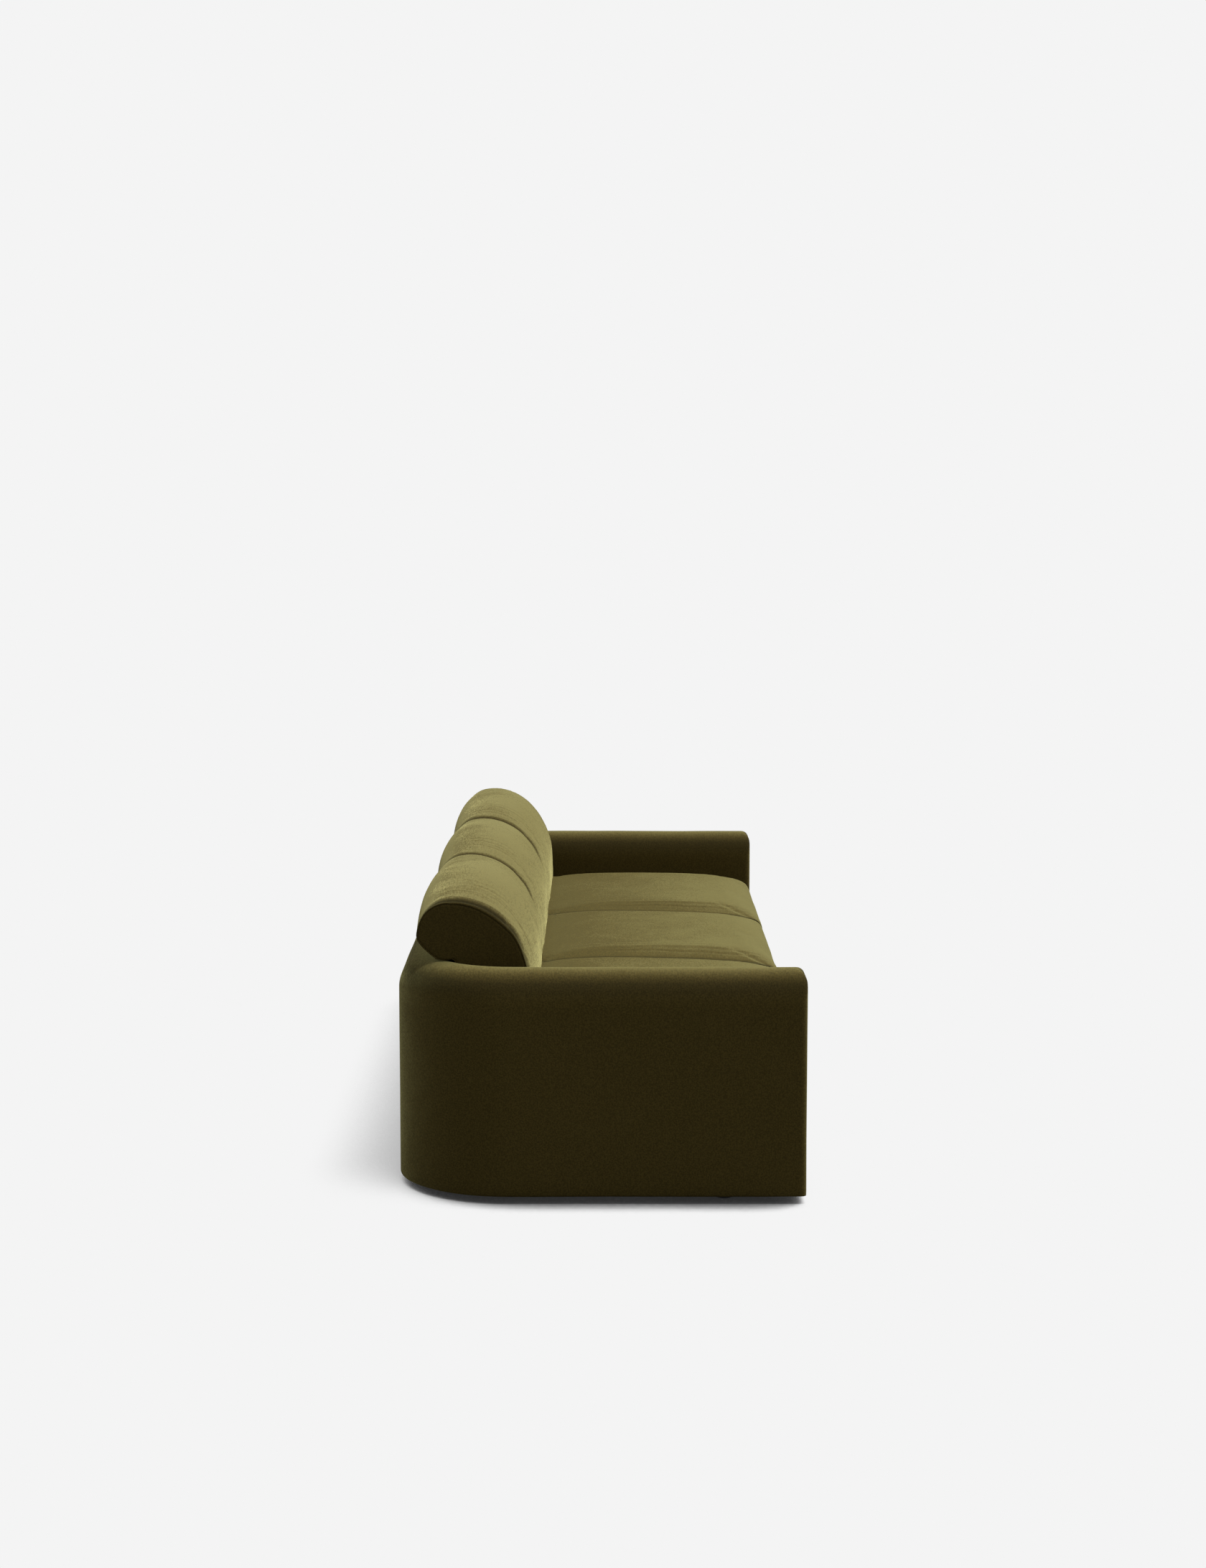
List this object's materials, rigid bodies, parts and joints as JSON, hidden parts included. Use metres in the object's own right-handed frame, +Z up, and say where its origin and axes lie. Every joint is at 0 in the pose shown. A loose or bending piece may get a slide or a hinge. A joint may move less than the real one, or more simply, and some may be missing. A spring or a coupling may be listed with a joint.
{
  "type": "modular sofa",
  "caption": "Low modular sofa of two arm units and an armless unit, with round-topped walls, loose seat cushions and loose back bolsters.",
  "frame": {"origin": "on the floor, below the centre of the sofa's length and depth", "axes": "+X along the sofa towards the sitter's left hand, so the front faces -Y and +Z is up"},
  "size_m": [2.74, 0.965, 0.728],
  "materials": {
    "velvet": "moss green velvet",
    "foam": "open cell foam",
    "timber": "planed, unfinished",
    "cloth": "woven, matt",
    "steel": "zinc plated",
    "plastic": "matt black"
  },
  "bodies": {
    "middle_unit": {"middle_cover": "velvet", "middle_back_foam": "foam", "middle_back_frame": "timber", "middle_long_rails": "timber", "middle_side_rails": "timber", "middle_foot_blocks": "timber", "middle_front_panel": "velvet", "middle_webbing": "cloth", "middle_deck_cloth": "cloth", "middle_dust_cloth": "cloth", "middle_feet": "plastic", "middle_screws": "steel", "middle_pin_plates": "steel"},
    "left_unit": {"left_cover": "velvet", "left_back_foam": "foam", "left_back_frame": "timber", "left_long_rails": "timber", "left_side_rails": "timber", "left_foot_blocks": "timber", "left_front_panel": "velvet", "left_webbing": "cloth", "left_deck_cloth": "cloth", "left_dust_cloth": "cloth", "left_feet": "plastic", "left_screws": "steel", "left_arm_foam": "foam", "left_corner_foam": "foam", "left_arm_frame": "timber", "left_corner_frame": "timber", "left_fork_plates": "steel"},
    "right_unit": {"right_cover": "velvet", "right_back_foam": "foam", "right_back_frame": "timber", "right_long_rails": "timber", "right_side_rails": "timber", "right_foot_blocks": "timber", "right_front_panel": "velvet", "right_webbing": "cloth", "right_deck_cloth": "cloth", "right_dust_cloth": "cloth", "right_feet": "plastic", "right_screws": "steel", "right_arm_foam": "foam", "right_corner_foam": "foam", "right_arm_frame": "timber", "right_corner_frame": "timber", "right_fork_plates": "steel"},
    "left_seat": {"left_seat_cover": "velvet", "left_seat_core": "foam"},
    "left_bolster": {"left_bolster_cover": "velvet", "left_bolster_core": "foam"},
    "middle_seat": {"middle_seat_cover": "velvet", "middle_seat_core": "foam"},
    "middle_bolster": {"middle_bolster_cover": "velvet", "middle_bolster_core": "foam"},
    "right_seat": {"right_seat_cover": "velvet", "right_seat_core": "foam"},
    "right_bolster": {"right_bolster_cover": "velvet", "right_bolster_core": "foam"}
  },
  "joints": [
    {"name": "left_unit_apart", "type": "slide", "parent": "middle_unit", "child": "left_unit", "axis": [-1, 0, 0], "range_m": [0, 0.2]},
    {"name": "right_unit_apart", "type": "slide", "parent": "middle_unit", "child": "right_unit", "axis": [1, 0, 0], "range_m": [0, 0.2]},
    {"name": "left_seat_lift", "type": "slide", "parent": "left_unit", "child": "left_seat", "axis": [0, 0, 1], "range_m": [0, 0.35]},
    {"name": "left_bolster_lift", "type": "slide", "parent": "left_seat", "child": "left_bolster", "axis": [0, 0, 1], "range_m": [0, 0.25]},
    {"name": "middle_seat_lift", "type": "slide", "parent": "middle_unit", "child": "middle_seat", "axis": [0, 0, 1], "range_m": [0, 0.35]},
    {"name": "middle_bolster_lift", "type": "slide", "parent": "middle_seat", "child": "middle_bolster", "axis": [0, 0, 1], "range_m": [0, 0.25]},
    {"name": "right_seat_lift", "type": "slide", "parent": "right_unit", "child": "right_seat", "axis": [0, 0, 1], "range_m": [0, 0.35]},
    {"name": "right_bolster_lift", "type": "slide", "parent": "right_seat", "child": "right_bolster", "axis": [0, 0, 1], "range_m": [0, 0.25]}
  ]
}
